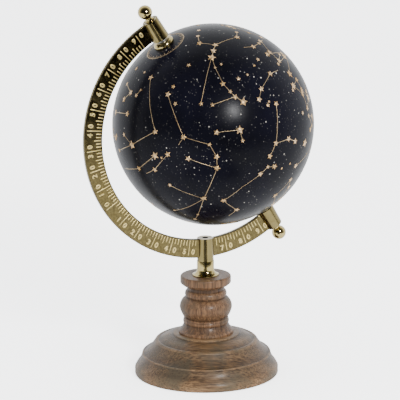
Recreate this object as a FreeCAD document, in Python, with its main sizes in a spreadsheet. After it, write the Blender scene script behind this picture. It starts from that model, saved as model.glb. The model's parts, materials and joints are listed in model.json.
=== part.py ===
import FreeCAD, Part
import os
import re
import Sketcher

# Celestial globe on a tilted half meridian arm and a turned wooden foot.
#
# Frame: millimetres, +Z up, origin on the table under the middle of the foot. The arm lies in
# the XZ plane. The polar axis leans from +Z towards -X, and the ball turns on it.
# Every driving size is a cell of the sheet "Sizes". Sub-parts are bound to the cells by name.

vector = FreeCAD.Vector

SIZES = {
    # ball
    "ball_radius": 100,
    "ball_wall": 3,
    "band_width": 16,
    "band_wall": 2,
    "glue_gap": 0.1,
    # polar axis and arm
    "axis_tilt": 31,
    "arm_offset": 11.4,
    "arm_gap": 9.75,
    "arm_width": 19.1,
    "arm_thickness": 4.2,
    "arm_edge_round": 0.6,
    "boss_proud": 1,
    "boss_root_radius": 8.9,
    "boss_tip_radius": 8.1,
    "boss_edge": 0.5,
    # axle and what runs on it
    "axle_radius": 2.5,
    "running_gap": 0.06,
    "free_gap": 0.4,
    "thread_gap": 0.05,
    "seat_gap": 0.02,
    "bush_radius": 6,
    "bush_flange_radius": 10,
    "bush_flange": 3,
    "cup_radius": 10.4,
    "cup_rise": 4.5,
    "cup_round": 3,
    "spacer_radius": 5,
    "spacer_thickness": 2.5,
    "finial_radius": 7.1,
    "finial_stand": 9.6,
    "finial_neck_radius": 3.4,
    "finial_collar_radius": 4.8,
    "finial_collar": 1.2,
    "finial_bore_depth": 10,
    "axle_end_gap": 0.6,
    # stem fittings
    "stem_boss_radius": 8.2,
    "stem_boss_drop": 3.6,
    "stem_boss_rise": 0.7,
    "ferrule_height": 14.9,
    "ferrule_radius": 8.6,
    "ferrule_flange_radius": 13.2,
    "ferrule_flare": 6.5,
    "ferrule_flare_bow": 1.4,
    "ferrule_lip": 0.8,
    "tie_rod_radius": 3,
    "tie_rod_gap": 0.4,
    "tie_rod_sink": 6,
    "nut_half_width": 5,
    "nut_height": 5,
    "washer_radius": 12,
    "washer_thickness": 1.5,
    "rod_tail": 1.5,
    # wooden foot
    "felt_inset": 6,
    "felt_thickness": 1.3,
    "felt_stand": 0.3,
    "felt_gap": 0.3,
    "nut_well_radius": 16,
    "nut_well_depth": 12,
    "foot_radius": 72,
    "foot_edge": 0.8,
    "foot_side": 5.2,
    "foot_side_bow": 0.25,
    "foot_shoulder_inset": 3.9,
    "foot_shoulder_rise": 6,
    "foot_shoulder_bow": 0.45,
    "foot_step_inset": 7.4,
    "foot_step_rise": 7.9,
    "foot_step_bow": 0.7,
    "foot_tread_inset": 9.2,
    "foot_tread_rise": 1,
    "foot_tread_bow": 0.9,
    "foot_dome_inset": 20.3,
    "foot_dome_rise": 12,
    "foot_dome_bow": 1,
    "foot_brow_inset": 24.6,
    "foot_brow_rise": 1.7,
    "foot_brow_bow": 0.6,
    "foot_ledge_radius": 33,
    "foot_crown_rise": 5.5,
    "foot_ledge": 1.4,
    # wooden stem, from its bell up to its cap
    "spigot_radius": 14,
    "spigot_length": 10,
    "spigot_gap": 0.1,
    "bell_radius": 27.4,
    "bell_side": 2.2,
    "bell_bow": 1.2,
    "bell_top_radius": 23.4,
    "bell_rise": 8,
    "ring_radius": 22.5,
    "ring_rise": 4,
    "ring_bow": 0.45,
    "waist_radius": 21.6,
    "waist_rise": 2,
    "bulb_radius": 26.2,
    "bulb_low_rise": 10,
    "bulb_low_bow": 0.6,
    "bulb_top_radius": 19.7,
    "bulb_high_rise": 11.4,
    "bulb_high_bow": 2,
    "bead_rise": 7.2,
    "bead_bow": 1.9,
    "groove_radius": 18.4,
    "groove_rise": 3,
    "cap_radius": 25.4,
    "cap_flare_rise": 4.6,
    "cap_flare_bow": 0.6,
    "cap_side": 5.4,
    "cap_edge": 1.8,
}

# The rises of the two turned outlines, in order from the bottom.
FOOT_RISES = ("foot_edge", "foot_side", "foot_shoulder_rise", "foot_step_rise", "foot_tread_rise",
              "foot_dome_rise", "foot_brow_rise", "foot_crown_rise", "foot_ledge")
STEM_RISES = ("bell_side", "bell_rise", "ring_rise", "waist_rise", "bulb_low_rise",
              "bulb_high_rise", "bead_rise", "groove_rise", "cap_flare_rise", "cap_side",
              "cap_edge")
FOOT_HEIGHT = f"({' + '.join(FOOT_RISES)})"
STEM_HEIGHT = f"({' + '.join(STEM_RISES)})"

# Heights of the stack above the table, from the felt up to the middle of the arm's ring.
FOOT_TOP = f"(felt_stand + {FOOT_HEIGHT})"
STEM_TOP = f"({FOOT_TOP} + {STEM_HEIGHT})"
BOSS_BASE = f"({STEM_TOP} + ferrule_height)"
ARM_BORE = "(ball_radius + arm_gap)"
ARM_RADIUS = f"({ARM_BORE} + arm_width)"
ARM_HEIGHT = f"({BOSS_BASE} + stem_boss_drop + {ARM_RADIUS})"
STEM_BOSS_LENGTH = "(stem_boss_drop + arm_width + stem_boss_rise)"
BALL_X = "(arm_offset * cos(axis_tilt))"
BALL_HEIGHT = f"({ARM_HEIGHT} + arm_offset * sin(axis_tilt))"

# Distances along the polar axis from the ball's centre.
CUP_TOP = "(ball_radius + cup_rise)"
BOSS_ROOT = f"({CUP_TOP} + free_gap + spacer_thickness)"
BOSS_TIP = f"(sqrt({ARM_RADIUS}^2 - arm_offset^2) + boss_proud)"
FINIAL_CENTRE = f"({BOSS_TIP} + finial_stand)"

# What the tie rod is pulled down on under the foot.
NUT_WELL_ROOF = "(felt_stand + nut_well_depth)"
NUT_TOP = f"({NUT_WELL_ROOF} - washer_thickness)"
TIE_ROD_FOOT = f"({NUT_TOP} - nut_height - rod_tail)"
TIE_ROD_LENGTH = f"({BOSS_BASE} + {STEM_BOSS_LENGTH} - tie_rod_sink - {TIE_ROD_FOOT})"

FELT_RECESS = "(felt_thickness - felt_stand)"
TIE_ROD_HOLE = "(tie_rod_radius + tie_rod_gap)"
AXLE_HOLE = "(axle_radius + running_gap)"
BALL_BORE = "(ball_radius - ball_wall)"

# The arm's ring runs from pole boss to pole boss, this much past a half circle at each end.
ARM_OVERRUN = f"(asin(arm_offset / ({ARM_BORE} + arm_width / 2)) / 1 deg)"

# The bow of a quarter circle, as a share of its radius.
QUARTER_BOW = "(1 - cos(45))"

# How an object leans from +Z towards +X.
UPRIGHT = "0"
NORTH = "-axis_tilt"
SOUTH = "180 - axis_tilt"

doc = FreeCAD.newDocument("CelestialGlobe")
sheet = doc.addObject("Spreadsheet::Sheet", "Sizes")


def fill_sheet():
    """Write the driving sizes as plain numbers, each with its alias beside it."""
    for row, (alias, size) in enumerate(SIZES.items(), start=1):
        sheet.set(f"A{row}", alias)
        sheet.set(f"B{row}", str(size))
        sheet.setAlias(f"B{row}", alias)
    doc.recompute()


def bound(formula):
    """The formula with each alias written as the sheet's own property."""
    def qualify(match):
        word = match.group()
        return f"Sizes.{word}" if word in SIZES else word
    return re.sub(r"[a-z_]+", qualify, formula)


def value(formula):
    """The number that a formula gives with the sheet as it stands."""
    return float(sheet.evalExpression(formula))


def drive(item, **formulas):
    """Bind properties of an object to formulas on the sheet."""
    for name, formula in formulas.items():
        item.setExpression(name, bound(formula))
    return item


def place(item, x="0", height="0", lean=UPRIGHT, along="0"):
    """Stand an object at (x, 0, height), leaned about Y and slid along its own axis."""
    base = f"create(<<vector>>; {x} + {along} * sin({lean}); 0; {height} + {along} * cos({lean}))"
    turn = f"create(<<rotation>>; create(<<vector>>; 0; 1; 0); {lean})"
    return drive(item, Placement=f"create(<<placement>>; {base}; {turn})")


def on_axis(item, lean=NORTH, along="0"):
    """Put an object on the polar axis, measured from the ball's centre."""
    return place(item, BALL_X, BALL_HEIGHT, lean, along)


def primitive(kind, name, **formulas):
    """A Part primitive with its sizes bound to the sheet."""
    return drive(doc.addObject(f"Part::{kind}", name), **formulas)


def cylinder(name, radius, length):
    return primitive("Cylinder", name, Radius=radius, Height=length)


def combine(kind, name, base, tool):
    """The Cut or Common of two solids."""
    result = doc.addObject(f"Part::{kind}", name)
    result.Base = base
    result.Tool = tool
    return result


def fuse(name, pieces):
    """Several solids of one piece joined into one."""
    result = doc.addObject("Part::MultiFuse", name)
    result.Shapes = pieces
    result.Refine = True
    return result


def ease(kind, name, base, size, wanted):
    """Fillet or Chamfer the edges of base that wanted picks out."""
    doc.recompute()
    result = doc.addObject(f"Part::{kind}", name)
    result.Base = base
    width = value(size)
    edges = enumerate(base.Shape.Edges, start=1)
    result.Edges = [(number, width, width) for number, edge in edges if wanted(edge)]
    return result


def is_circle(edge):
    return edge.Curve.TypeId == "Part::GeomCircle"


def origin_plane(body, role):
    """One of a body's own origin planes, found by its role."""
    return next(plane for plane in body.Origin.OriginFeatures if plane.Role == role)


def outline_edge(start, end, bow):
    """A line from start to end, or the arc that bows to its right, or left if negative."""
    if not bow:
        return Part.LineSegment(start, end)
    run = end - start
    right = vector(run.y, -run.x, 0).normalize()
    crown = (start + end) / 2 + right * bow
    return Part.Arc(start, crown, end) if bow > 0 else Part.Arc(end, crown, start)


def arc_radius(start, end, bow):
    """The formula for an arc's radius from its two corners and its bow."""
    chord = f"((({end[0]}) - ({start[0]}))^2 + (({end[1]}) - ({start[1]}))^2)"
    return f"{chord} / (8 * {bow}) + {bow} / 2"


def draw_outline(sketch, corners):
    """Draw a closed outline of (radius, height) corners, each tied to the sheet.

    A third entry is the bow of the arc that leaves the corner: a formula that starts with a
    minus sign bows it to the left of the way the outline runs.
    """
    def tie(kind, *where, formula):
        size = value(formula)
        rule = sketch.addConstraint(Sketcher.Constraint(kind, *where, size))
        if size > 0:
            sketch.setExpression(f"Constraints[{rule}]", bound(formula))

    points = [vector(value(corner[0]), value(corner[1]), 0) for corner in corners]
    bows = [value(corner[2]) if len(corner) > 2 else 0 for corner in corners]
    # The sketch keeps each arc counter-clockwise, so one bowed to the left starts at its far end.
    starts = [2 if bow < 0 else 1 for bow in bows]
    for index, bow in enumerate(bows):
        following = (index + 1) % len(corners)
        sketch.addGeometry(outline_edge(points[index], points[following], bow))
    for index, corner in enumerate(corners):
        following = (index + 1) % len(corners)
        sketch.addConstraint(Sketcher.Constraint(
            "Coincident", index, 3 - starts[index], following, starts[following]))
        tie("DistanceX", -1, 1, index, starts[index], formula=corner[0])
        tie("DistanceY", -1, 1, index, starts[index], formula=corner[1])
        if bows[index]:
            tie("Radius", index, formula=arc_radius(corner, corners[following], corner[2].lstrip("-")))


def turned(name, corners, height):
    """A lathe-turned piece: an outline in the XZ plane revolved about the body's Z axis."""
    body = doc.addObject("PartDesign::Body", name)
    sketch = body.newObject("Sketcher::SketchObject", f"{name}_outline")
    sketch.AttachmentSupport = (origin_plane(body, "XZ_Plane"), [""])
    sketch.MapMode = "FlatFace"
    draw_outline(sketch, corners)
    turning = body.newObject("PartDesign::Revolution", f"{name}_turning")
    turning.Profile = sketch
    turning.ReferenceAxis = (sketch, ["V_Axis"])
    turning.Angle = 360
    return place(body, height=height)


def stacked(base, radii, rises, bows):
    """Corners of an outline that climbs from base by one rise after another."""
    corners = []
    for radius, rise, bow in zip(radii, rises, bows, strict=True):
        base = f"{base} + {rise}"
        corners.append((radius, base, bow) if bow else (radius, base))
    return corners


def base_felt():
    """A felt disc let into the foot's underside, a little proud of it."""
    return cylinder("base_felt", "foot_radius - felt_inset", "felt_thickness")


def base_foot():
    """The turned foot, with a felt recess, a nut well and a socket for the stem's spigot."""
    felt_wall = "foot_radius - felt_inset + felt_gap"
    underside = [
        (TIE_ROD_HOLE, "nut_well_depth"),
        ("nut_well_radius", "nut_well_depth"),
        ("nut_well_radius", FELT_RECESS),
        (felt_wall, FELT_RECESS),
        (felt_wall, "0"),
        ("foot_radius - foot_edge", "0", f"foot_edge * {QUARTER_BOW}"),
    ]
    radii = ["foot_radius", "foot_radius"]
    radii += [f"foot_radius - foot_{tier}_inset"
              for tier in ("shoulder", "step", "tread", "dome", "brow")]
    radii += ["foot_ledge_radius", "foot_ledge_radius"]
    bows = [None, "foot_side_bow", "-foot_shoulder_bow", "foot_step_bow", "-foot_tread_bow",
            "foot_dome_bow", "foot_brow_bow", None, None]
    socket = "spigot_radius + spigot_gap"
    socket_floor = f"{FOOT_HEIGHT} - spigot_length - spigot_gap"
    inside = [
        (socket, FOOT_HEIGHT),
        (socket, socket_floor),
        (TIE_ROD_HOLE, socket_floor),
    ]
    tiers = stacked("0", radii, FOOT_RISES, bows)
    return turned("base_foot", underside + tiers + inside, height="felt_stand")


def stem_turning():
    """The turned neck: bell, rings, bulb, bead, groove and cap, on a spigot."""
    radii = ["bell_radius", "bell_top_radius", "ring_radius", "waist_radius", "bulb_radius",
             "bulb_top_radius", "groove_radius", "groove_radius", "cap_radius", "cap_radius",
             "cap_radius - cap_edge"]
    bows = ["-bell_bow", "ring_bow", "ring_bow", "bulb_low_bow", "bulb_high_bow", "bead_bow",
            None, "cap_flare_bow", None, f"cap_edge * {QUARTER_BOW}", None]
    spigot = [
        (TIE_ROD_HOLE, "0"),
        ("spigot_radius", "0"),
        ("spigot_radius", "spigot_length"),
        ("bell_radius", "spigot_length"),
    ]
    turnings = stacked("spigot_length", radii, STEM_RISES, bows)
    bore_top = [(TIE_ROD_HOLE, f"spigot_length + {STEM_HEIGHT}")]
    return turned("stem_turning", spigot + turnings + bore_top,
                  height=f"{FOOT_TOP} - spigot_length")


def ferrule():
    """The brass collar that flares out on to the wood."""
    return turned("ferrule", [
        (TIE_ROD_HOLE, "0"),
        ("ferrule_flange_radius", "0"),
        ("ferrule_flange_radius", "ferrule_lip", "-ferrule_flare_bow"),
        ("ferrule_radius", "ferrule_flare"),
        ("ferrule_radius", "ferrule_height"),
        (TIE_ROD_HOLE, "ferrule_height"),
    ], height=STEM_TOP)


def tie_fasteners():
    """The rod that clamps foot, stem, ferrule and arm together, with its washer and nut."""
    rod = place(cylinder("tie_rod", "tie_rod_radius", TIE_ROD_LENGTH), height=TIE_ROD_FOOT)
    disc = place(cylinder("washer_disc", "washer_radius", "washer_thickness"), height=NUT_TOP)
    disc_hole = place(cylinder("washer_hole", TIE_ROD_HOLE, "washer_thickness"), height=NUT_TOP)
    washer = combine("Cut", "tie_washer", disc, disc_hole)
    seat = f"{NUT_TOP} - nut_height"
    hexagon = primitive("Prism", "nut_hexagon", Height="nut_height",
                        Circumradius="nut_half_width / cos(30)")
    tapping = cylinder("nut_tapping", "tie_rod_radius + thread_gap", "nut_height")
    nut = combine("Cut", "tie_nut", place(hexagon, height=seat), place(tapping, height=seat))
    return [rod, washer, nut]


def arm_ring():
    """The flat half ring with its long edges rounded."""
    def sector(name, radius):
        base = f"create(<<vector>>; 0; arm_thickness / 2; {ARM_HEIGHT})"
        swing = f"create(<<rotation>>; create(<<vector>>; 0; -1; 0); 90 + axis_tilt - {ARM_OVERRUN})"
        stand = "create(<<rotation>>; create(<<vector>>; 1; 0; 0); 90)"
        return primitive("Cylinder", name, Radius=radius, Height="arm_thickness",
                         Angle=f"180 + 2 * {ARM_OVERRUN}",
                         Placement=f"create(<<placement>>; {base}; {swing} * {stand})")

    flat = combine("Cut", "arm_flat", sector("arm_disc", ARM_RADIUS),
                   sector("arm_opening", ARM_BORE))
    return ease("Fillet", "arm_ring", flat, "arm_edge_round", is_circle)


def pole_boss(name, lean):
    """A drafted boss on the polar axis, with its two rims chamfered."""
    cone = primitive("Cone", f"{name}_cone", Radius1="boss_root_radius",
                     Radius2="boss_tip_radius", Height=f"{BOSS_TIP} - {BOSS_ROOT}")
    on_axis(cone, lean, BOSS_ROOT)
    return ease("Chamfer", name, cone, "boss_edge", is_circle)


def meridian_arm():
    """One casting: the half ring, two pole bosses and the boss that stands on the ferrule."""
    stem_boss = place(cylinder("stem_boss", "stem_boss_radius", STEM_BOSS_LENGTH),
                      height=BOSS_BASE)
    casting = fuse("arm_casting", [
        arm_ring(),
        pole_boss("boss_north", NORTH),
        pole_boss("boss_south", SOUTH),
        stem_boss,
    ])
    axle_bore = on_axis(cylinder("axle_bore", AXLE_HOLE, f"2 * {BOSS_TIP}"),
                        along=f"(-{BOSS_TIP})")
    stem_bore = place(cylinder("stem_bore", "tie_rod_radius + thread_gap", STEM_BOSS_LENGTH),
                      height=BOSS_BASE)
    return combine("Cut", "meridian_arm", casting, fuse("arm_bores", [axle_bore, stem_bore]))


def axle_rod():
    """The steel rod that both finials screw on to."""
    half = f"({BOSS_TIP} + finial_bore_depth - axle_end_gap)"
    return on_axis(cylinder("axle_rod", "axle_radius", f"2 * {half}"), along=f"(-{half})")


def finial(name, lean):
    """A ball nut on a short neck and collar, with a blind tapped hole."""
    collar = on_axis(cylinder(f"{name}_collar", "finial_collar_radius", "finial_collar"),
                     lean, BOSS_TIP)
    neck = on_axis(cylinder(f"{name}_neck", "finial_neck_radius", "finial_stand"),
                   lean, BOSS_TIP)
    knob = on_axis(primitive("Sphere", f"{name}_ball", Radius="finial_radius"),
                   lean, FINIAL_CENTRE)
    tapping = on_axis(cylinder(f"{name}_tapping", "axle_radius + thread_gap",
                               "finial_bore_depth"), lean, BOSS_TIP)
    return combine("Cut", name, fuse(f"{name}_blank", [collar, neck, knob]), tapping)


def spacer(name, lean):
    """The washer that keeps the ball's cup off the boss."""
    start = f"({CUP_TOP} + free_gap)"
    disc = on_axis(cylinder(f"{name}_disc", "spacer_radius", "spacer_thickness"), lean, start)
    hole = on_axis(cylinder(f"{name}_hole", AXLE_HOLE, "spacer_thickness"), lean, start)
    return combine("Cut", name, disc, hole)


def half_globe(name, lean):
    """Half of the hollow ball, with the hole for its pole bush."""
    outside = on_axis(primitive("Sphere", f"{name}_outside", Radius="ball_radius", Angle1="0"),
                      lean)
    inside = on_axis(primitive("Sphere", f"{name}_inside", Radius=BALL_BORE), lean)
    hole = on_axis(cylinder(f"{name}_hole", "bush_radius + seat_gap", "ball_radius"), lean)
    return combine("Cut", name, outside, fuse(f"{name}_hollow", [inside, hole]))


def equator_band():
    """The splice band glued inside both halves."""
    reach = f"({BALL_BORE} - glue_gap)"
    round_blank = on_axis(primitive("Sphere", "band_sphere", Radius=reach))
    middle = "(-band_width / 2)"
    slab = on_axis(cylinder("band_slab", "ball_radius", "band_width"), along=middle)
    opening = on_axis(cylinder("band_opening", f"{reach} - band_wall", "band_width"),
                      along=middle)
    disc = combine("Common", "band_disc", round_blank, slab)
    return combine("Cut", "equator_band", disc, opening)


def pole_bush(name, lean):
    """A bush glued in the pole hole, with a flange against the ball's inside."""
    flange_top = f"(sqrt({BALL_BORE}^2 - bush_flange_radius^2) - glue_gap)"
    foot = f"({flange_top} - bush_flange)"
    top = "(sqrt(ball_radius^2 - bush_radius^2) - glue_gap)"
    flange = on_axis(cylinder(f"{name}_flange", "bush_flange_radius", "bush_flange"), lean, foot)
    barrel = on_axis(cylinder(f"{name}_barrel", "bush_radius", f"{top} - {foot}"), lean, foot)
    bore = on_axis(cylinder(f"{name}_bore", AXLE_HOLE, f"{top} - {foot}"), lean, foot)
    return combine("Cut", name, fuse(f"{name}_blank", [flange, barrel]), bore)


def pole_cup(name, lean):
    """A domed brass washer that sits on the ball round the axle."""
    foot = "(ball_radius - cup_rise)"
    disc = on_axis(cylinder(f"{name}_disc", "cup_radius", "2 * cup_rise"), lean, foot)

    def is_top_rim(edge):
        rim = edge.CenterOfMass - vector(value(BALL_X), 0, value(BALL_HEIGHT))
        return is_circle(edge) and rim.Length > value("ball_radius")

    domed = ease("Fillet", f"{name}_dome", disc, "cup_round", is_top_rim)
    seat = on_axis(primitive("Sphere", f"{name}_seat", Radius="ball_radius + seat_gap"), lean)
    hole = on_axis(cylinder(f"{name}_hole", "axle_radius + free_gap", CUP_TOP), lean)
    return combine("Cut", name, domed, fuse(f"{name}_hollow", [seat, hole]))


def build():
    """Every sub-part of the globe, from the table up."""
    parts = [base_felt(), base_foot(), stem_turning(), ferrule()]
    parts += tie_fasteners()
    parts += [meridian_arm(), axle_rod(), equator_band()]
    for pole, lean in (("north", NORTH), ("south", SOUTH)):
        parts.append(finial(f"finial_{pole}", lean))
        parts.append(spacer(f"spacer_{pole}", lean))
        parts.append(half_globe(f"globe_{pole}_half", lean))
        parts.append(pole_bush(f"pole_bush_{pole}", lean))
        parts.append(pole_cup(f"pole_cup_{pole}", lean))
    doc.recompute()
    return parts


def check(parts):
    """Stop on any object that failed to build, and on any sub-part that isn't one solid."""
    for item in doc.Objects:
        if {"Invalid", "Error"} & set(item.State):
            raise RuntimeError(f"{item.Name} did not build: {item.State}")
    for part in parts:
        if part.Shape.isNull() or not part.Shape.isValid() or len(part.Shape.Solids) != 1:
            raise RuntimeError(f"{part.Label} is not one valid solid")


def write(parts):
    """Write each sub-part to its own STEP file."""
    os.makedirs("parts", exist_ok=True)
    for part in parts:
        part.Shape.exportStep(f"parts/{part.Label}.step")
        print(f"{part.Label:18s} {part.Shape.Volume:12.1f} mm3")


fill_sheet()
subparts = build()
check(subparts)
write(subparts)
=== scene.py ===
import bpy
import json
import math
import random
from mathutils import Matrix, Vector


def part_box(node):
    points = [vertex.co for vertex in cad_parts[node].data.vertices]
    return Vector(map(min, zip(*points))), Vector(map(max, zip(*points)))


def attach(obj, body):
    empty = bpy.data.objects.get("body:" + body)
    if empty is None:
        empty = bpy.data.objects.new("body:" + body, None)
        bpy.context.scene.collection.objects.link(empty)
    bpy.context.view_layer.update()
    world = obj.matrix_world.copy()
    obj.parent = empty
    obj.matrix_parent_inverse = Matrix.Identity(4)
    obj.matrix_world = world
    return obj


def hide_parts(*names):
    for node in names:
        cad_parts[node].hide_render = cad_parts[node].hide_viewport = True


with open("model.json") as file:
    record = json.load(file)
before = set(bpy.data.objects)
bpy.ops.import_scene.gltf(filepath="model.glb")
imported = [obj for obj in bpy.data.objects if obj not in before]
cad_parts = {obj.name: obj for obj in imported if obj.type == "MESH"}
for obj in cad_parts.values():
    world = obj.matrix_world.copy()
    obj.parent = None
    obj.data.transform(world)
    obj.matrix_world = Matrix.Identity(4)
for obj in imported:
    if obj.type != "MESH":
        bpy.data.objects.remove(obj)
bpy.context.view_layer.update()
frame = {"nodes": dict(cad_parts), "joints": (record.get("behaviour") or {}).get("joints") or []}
MM = 0.001
bpy.ops.object.select_all(action="DESELECT")

# --- Table, camera and lights -------------------------------------------------------------
# The globe stands on a plain pale table top in a white room, under one soft light. A grey tent
# round the camera and a black cloth on the table keep their side dark in the polished brass, as
# a photographer's flags do, and only reflections see them.


def shade(tree, kind, inputs=None, **settings):
    """Adds a shader node to a tree. Each input takes a value or another node's output."""
    made = tree.nodes.new("ShaderNode" + kind)
    for setting, value in settings.items():
        setattr(made, setting, value)
    for socket, value in (inputs or {}).items():
        if isinstance(value, bpy.types.NodeSocket):
            tree.links.new(value, made.inputs[socket])
        else:
            made.inputs[socket].default_value = value
    return made


def new_material(name):
    """A material with an empty tree but for its shader and output, and its object coordinates."""
    material = bpy.data.materials.new(name)
    material.use_nodes = True
    tree = material.node_tree
    tree.nodes.clear()
    shader = shade(tree, "BsdfPrincipled")
    shade(tree, "OutputMaterial", {"Surface": shader.outputs["BSDF"]})
    place = shade(tree, "TexCoord").outputs["Object"]
    return material, tree, shader, place


def ramp(tree, factor, stops):
    """A colour ramp through (position, colour) stops."""
    made = shade(tree, "ValToRGB", {"Fac": factor})
    elements = made.color_ramp.elements
    while len(elements) < len(stops):
        elements.new(1)
    for element, (position, colour) in zip(elements, stops):
        element.position = position
        element.color = colour
    return made.outputs["Color"]


def grey(level):
    """A neutral colour of one level."""
    return (level, level, level, 1)


floor_radius = 14
floor_glow = 2.2
room_brightness = 2.4

floor_paper, tree, shader, place = new_material("floor_paper")
flecks = shade(tree, "TexNoise", {"Vector": place, "Scale": 3, "Detail": 5})
paper = ramp(tree, flecks.outputs["Fac"], [(0.3, grey(0.86)), (0.7, grey(0.9))])
tree.links.new(paper, shader.inputs["Base Color"])
shader.inputs["Roughness"].default_value = 0.75
shader.inputs["Specular IOR Level"].default_value = 0.2
shader.inputs["Emission Color"].default_value = grey(1)
seen = shade(tree, "MapRange", {"Value": shade(tree, "LightPath").outputs["Is Camera Ray"],
                                "To Max": floor_glow})
tree.links.new(seen.outputs["Result"], shader.inputs["Emission Strength"])
bpy.ops.mesh.primitive_circle_add(vertices=96, radius=floor_radius, fill_type="NGON")
floor = bpy.context.active_object
floor.name = "floor"
floor.data.materials.append(floor_paper)

room = bpy.data.worlds.new("white_room")
room.use_nodes = True
room.node_tree.nodes["Background"].inputs["Color"].default_value = (0.95, 0.97, 1, 1)
room.node_tree.nodes["Background"].inputs["Strength"].default_value = room_brightness
bpy.context.scene.world = room

camera_yaw = math.radians(-24.06)
camera_dip = math.radians(14.63)
camera_roll = math.radians(-0.58)
camera_turn = (Matrix.Rotation(camera_yaw, 4, "Z")
               @ Matrix.Rotation(math.pi / 2 - camera_dip, 4, "X")
               @ Matrix.Rotation(camera_roll, 4, "Z"))
camera_aim = Vector((0.0035, 0.0197, 0.1733))
camera_distance = 3.2
camera_lens = 288
camera_range = 60
bpy.ops.object.camera_add()
camera = bpy.context.active_object
camera.data.lens = camera_lens
camera.matrix_world = (Matrix.Translation(camera_aim) @ camera_turn
                       @ Matrix.Translation((0, 0, camera_distance)))
camera.data.clip_end = camera_range
bpy.context.scene.camera = camera


def flag(piece, name, levels):
    """Makes a piece a flag that only reflections see, with a grey for each share of its height."""
    piece.name = name
    flag_grey = bpy.data.materials.new(name)
    flag_grey.use_nodes = True
    tree = flag_grey.node_tree
    tree.nodes.clear()
    height = shade(tree, "SeparateXYZ", {"Vector": shade(tree, "TexCoord").outputs["Object"]})
    glow = shade(tree, "Emission", {"Color": ramp(tree, height.outputs["Z"], levels)})
    shade(tree, "OutputMaterial", {"Surface": glow.outputs["Emission"]})
    piece.data.materials.append(flag_grey)
    piece.visible_camera = False
    piece.visible_diffuse = False
    piece.visible_shadow = False
    piece.visible_transmission = False


tent_radius = 4
tent_levels = [(0, grey(1.4)), (0.3, grey(0.4)), (0.6, grey(0.06)), (1, grey(0.02))]
bpy.ops.mesh.primitive_uv_sphere_add(segments=48, ring_count=24, radius=1)
tent = bpy.context.active_object
bpy.ops.object.mode_set(mode="EDIT")
bpy.ops.mesh.bisect(plane_co=(0, 0, 0), plane_no=(0, 0, -1), clear_outer=True)
bpy.ops.object.mode_set(mode="OBJECT")
tent.matrix_world = (Matrix.Translation(camera_aim) @ camera_turn
                     @ Matrix.Diagonal((tent_radius, tent_radius, tent_radius, 1)))
flag(tent, "grey_tent", tent_levels)

cloth_edge = -0.86
cloth_size = (5, 3)
cloth_lift = 0.004
cloth_black = grey(0.01)
bpy.ops.mesh.primitive_plane_add(size=1, location=(0, cloth_edge - cloth_size[1] / 2, cloth_lift))
cloth = bpy.context.active_object
cloth.scale = (*cloth_size, 1)
flag(cloth, "black_cloth", [(0, cloth_black), (1, cloth_black)])

runner_near = 0.25
runner_far = 1.0
runner_width = 0.36
runner_grey = grey(0.3)
bpy.ops.mesh.primitive_plane_add(size=1)
runner = bpy.context.active_object
runner.matrix_world = (Matrix.Rotation(camera_yaw, 4, "Z")
                       @ Matrix.Translation((0, -(runner_near + runner_far) / 2, cloth_lift))
                       @ Matrix.Diagonal((runner_width, runner_far - runner_near, 1, 1)))
flag(runner, "grey_runner", [(0, runner_grey), (1, runner_grey)])


def hang_light(name, size, power, location, aim):
    """A square soft light that faces a point."""
    bpy.ops.object.light_add(type="AREA", location=location)
    light = bpy.context.active_object
    light.name = name
    light.data.size = size
    light.data.energy = power
    light.rotation_euler = (Vector(aim) - Vector(location)).to_track_quat("-Z", "Y").to_euler()
    light.visible_camera = False


hang_light("soft_key", size=0.45, power=85, location=(0.05, -2.2, 1.35), aim=(0, 0, 0.2))

# --- Base felt ----------------------------------------------------------------------------
# A disc of thick wool felt glued into a shallow recess under the foot, so that the wood never
# scratches a table. It is cut with a knife, so its edge is square and a little hairy.

felt_low, felt_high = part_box("base_felt")
felt_radius = felt_high.x
felt_thickness = felt_high.z - felt_low.z
felt_edge = 0.25 * MM

bpy.ops.mesh.primitive_circle_add(vertices=160, radius=felt_radius, fill_type="NGON",
                                  location=(0, 0, felt_low.z))
felt = bpy.context.active_object
felt.name = "felt_disc"
bpy.ops.object.mode_set(mode="EDIT")
bpy.ops.mesh.extrude_region_move(TRANSFORM_OT_translate={"value": (0, 0, felt_thickness)})
bpy.ops.mesh.select_all(action="SELECT")
bpy.ops.mesh.normals_make_consistent(inside=False)
bpy.ops.object.mode_set(mode="OBJECT")
bpy.ops.object.transform_apply(location=True)


def bevel_edges(piece, width, segments=2, angle=30):
    """Rounds a piece's sharp edges, then shades what is left smoothly."""
    bpy.ops.object.select_all(action="DESELECT")
    piece.select_set(True)
    bpy.context.view_layer.objects.active = piece
    rounding = piece.modifiers.new("rounding", "BEVEL")
    rounding.width = width
    rounding.segments = segments
    rounding.limit_method = "ANGLE"
    rounding.angle_limit = math.radians(angle)
    bpy.ops.object.modifier_apply(modifier=rounding.name)
    bpy.ops.object.shade_smooth_by_angle(angle=math.radians(angle))


bevel_edges(felt, felt_edge)

felt_wool, tree, shader, place = new_material("felt_wool")
hairs = shade(tree, "TexNoise", {"Vector": place, "Scale": 1400, "Detail": 6, "Roughness": 0.7})
tufts = shade(tree, "TexNoise", {"Vector": place, "Scale": 120, "Detail": 3})
wool = shade(tree, "Math", {0: hairs.outputs["Fac"], 1: tufts.outputs["Fac"]}, operation="ADD")
halved = shade(tree, "Math", {0: wool.outputs[0], 1: 0.5}, operation="MULTIPLY")
colour = ramp(tree, halved.outputs[0], [(0.35, (0.012, 0.016, 0.013, 1)),
                                        (0.65, (0.035, 0.045, 0.038, 1))])
tree.links.new(colour, shader.inputs["Base Color"])
shader.inputs["Roughness"].default_value = 0.95
shader.inputs["Sheen Weight"].default_value = 0.5
bump = shade(tree, "Bump", {"Height": wool.outputs[0], "Distance": 0.3 * MM, "Strength": 0.8})
tree.links.new(bump.outputs["Normal"], shader.inputs["Normal"])
felt.data.materials.append(felt_wool)
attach(felt, "stand")
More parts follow.
